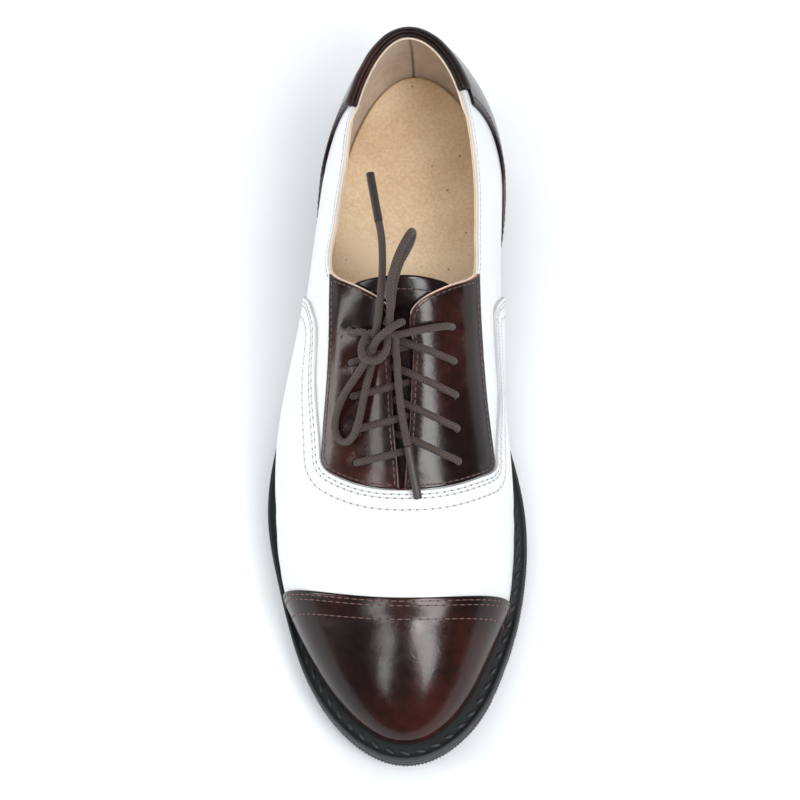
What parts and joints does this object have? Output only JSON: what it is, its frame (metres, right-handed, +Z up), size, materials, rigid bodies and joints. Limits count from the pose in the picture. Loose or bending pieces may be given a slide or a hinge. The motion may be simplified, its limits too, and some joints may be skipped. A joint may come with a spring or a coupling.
{
  "type": "leather oxford shoe",
  "caption": "Right two-tone cap-toe lace-up oxford, open at the collar and throat, on a moulded rubber sole with a separate heel.",
  "frame": {"origin": "on the floor, under the middle of the sole's length and width", "axes": "+Z up, +Y from the toe to the heel, +X towards the inner side of the right foot"},
  "size_m": [0.0972, 0.275, 0.1069],
  "materials": {
    "burgundy_leather": "polished, with soft highlights",
    "white_leather": "smooth, low sheen",
    "black_rubber": "satin moulded",
    "tan_pigskin": "matt lining leather with pores",
    "brown_cord": "waxed round braid",
    "aglet_plastic": "dark shrunk sleeve"
  },
  "bodies": {
    "root": {"outsole": "black_rubber", "heel": "black_rubber", "welt": "black_rubber", "insole": "tan_pigskin", "upper": "white_leather", "toe_cap": "burgundy_leather", "facing_outer": "burgundy_leather", "facing_inner": "burgundy_leather", "heel_counter": "burgundy_leather", "collar_binding": "burgundy_leather", "tongue": "burgundy_leather", "lace_bar_1": "brown_cord", "lace_bar_2": "brown_cord", "lace_bar_3": "brown_cord", "lace_bar_4": "brown_cord", "lace_bar_5": "brown_cord", "lace_knot": "brown_cord", "lace_end_upper": "brown_cord", "lace_end_lower": "brown_cord", "lace_loop_upper": "brown_cord", "lace_loop_lower": "brown_cord", "aglet_upper": "aglet_plastic", "aglet_lower": "aglet_plastic"}
  },
  "joints": []
}
